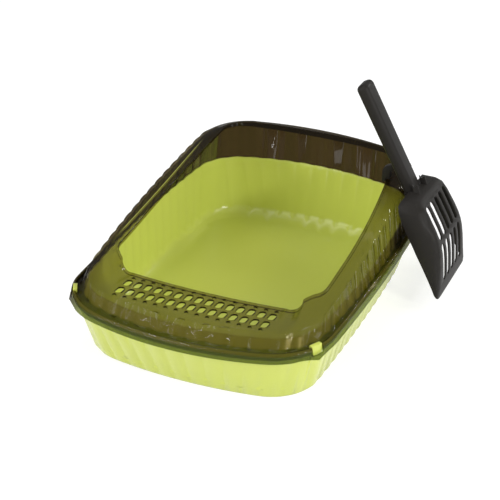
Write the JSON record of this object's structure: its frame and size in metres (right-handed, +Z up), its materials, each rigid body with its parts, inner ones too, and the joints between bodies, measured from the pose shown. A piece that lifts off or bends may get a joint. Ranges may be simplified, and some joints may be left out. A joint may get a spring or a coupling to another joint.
{
  "type": "semi-enclosed litter box",
  "caption": "Semi-enclosed litter tray with a lift-off see-through surround, a low sieve step in front and a slotted scoop hooked over the side",
  "frame": {"origin": "middle of the tray's flat underside, on the floor", "axes": "+Z up, +Y towards the high back, the low entry step at -Y, +X towards the side that carries the scoop"},
  "size_m": [0.372, 0.48, 0.254],
  "materials": {
    "lime_plastic": "opaque moulded polypropylene, satin",
    "smoky_plastic": "see-through smoky brown moulded plastic, glossy",
    "charcoal_plastic": "opaque charcoal moulded polypropylene, satin"
  },
  "bodies": {
    "tray": {"tray": "lime_plastic"},
    "surround": {"surround": "smoky_plastic"},
    "scoop": {"scoop_blade": "charcoal_plastic", "scoop_handle": "charcoal_plastic"}
  },
  "joints": [
    {"name": "surround_lift", "type": "slide", "parent": "tray", "child": "surround", "axis": [0, 0, 1], "range_m": [0, 0.12]},
    {"name": "scoop_lift", "type": "slide", "parent": "surround", "child": "scoop", "axis": [0, 0, 1], "range_m": [0, 0.12]}
  ]
}
